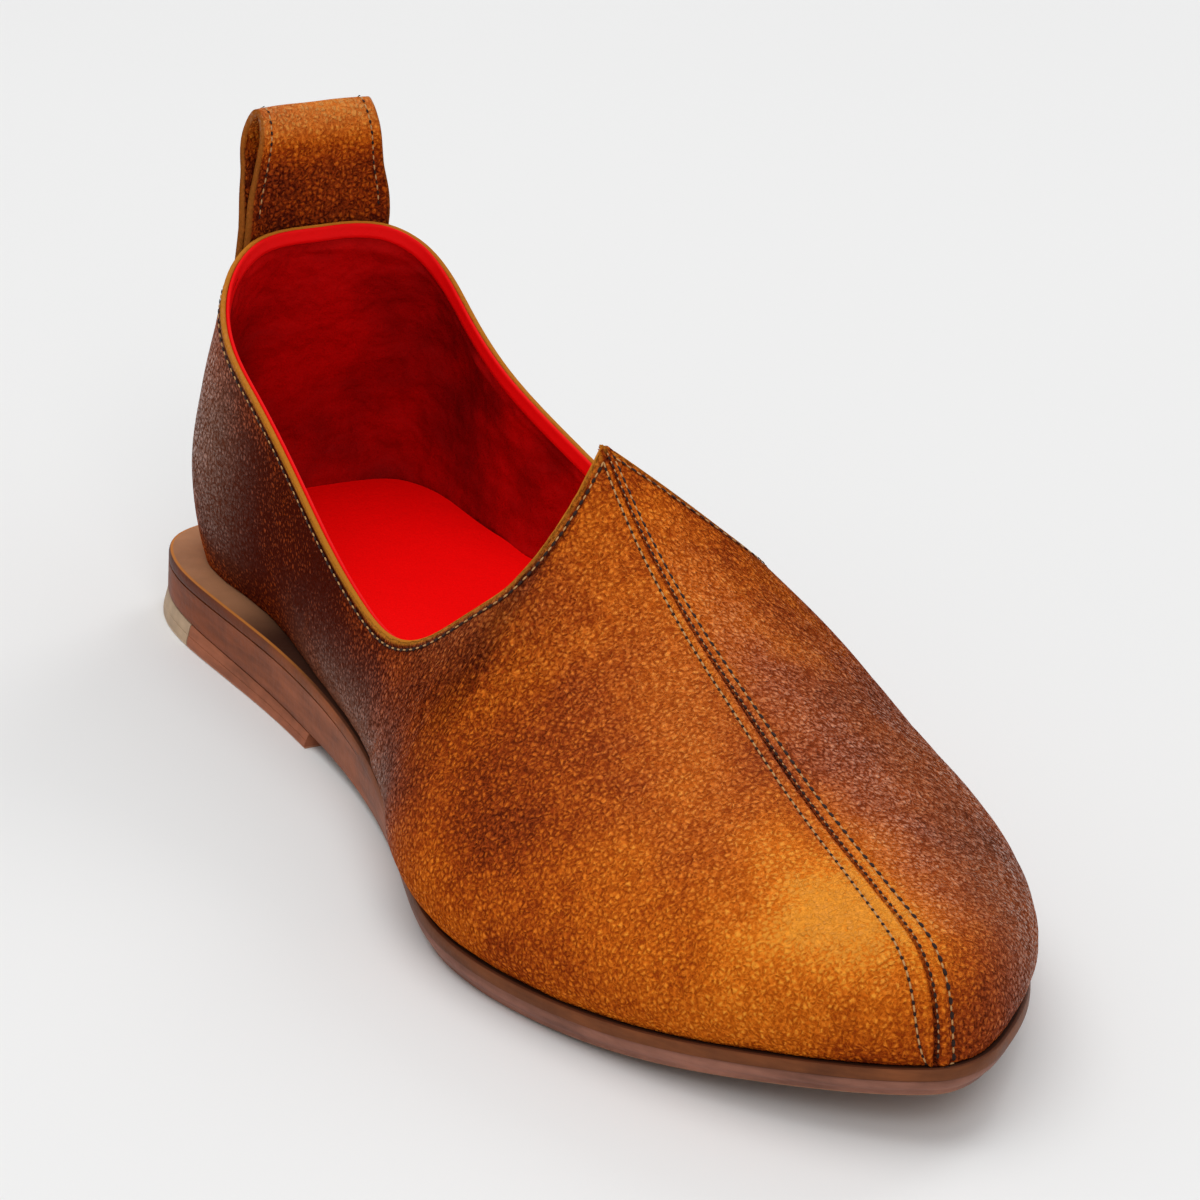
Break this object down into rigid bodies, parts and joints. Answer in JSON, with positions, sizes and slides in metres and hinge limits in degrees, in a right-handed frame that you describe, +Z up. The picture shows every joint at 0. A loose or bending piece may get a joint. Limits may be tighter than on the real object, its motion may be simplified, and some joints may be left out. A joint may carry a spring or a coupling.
{
  "type": "slip-on shoe",
  "caption": "Low leather slip-on shoe for the left foot, with a seamed vamp, a peaked throat, a heel pull loop and a flat stacked leather sole.",
  "frame": {"origin": "on the floor, under the middle of the shoe's bounding box", "axes": "+Z up; the toe points to -Y and the heel to +Y; the medial side, towards the other shoe, is -X"},
  "size_m": [0.1122, 0.2842, 0.1118],
  "materials": {
    "upper_leather": "waxed grain leather with a soft sheen",
    "strap_leather": "waxed grain leather with a soft sheen",
    "lining": "matt suede lining",
    "welt": "stained, slightly rough edge",
    "sole_leather": "burnished edge",
    "lift_leather": "burnished stacked leather",
    "tip": "pale smooth top piece"
  },
  "bodies": {
    "root": {"upper": "upper_leather", "heel_strap": "strap_leather", "insole": "lining", "midsole": "welt", "outsole": "sole_leather", "heel_lift": "lift_leather", "heel_tip": "tip"}
  },
  "joints": []
}
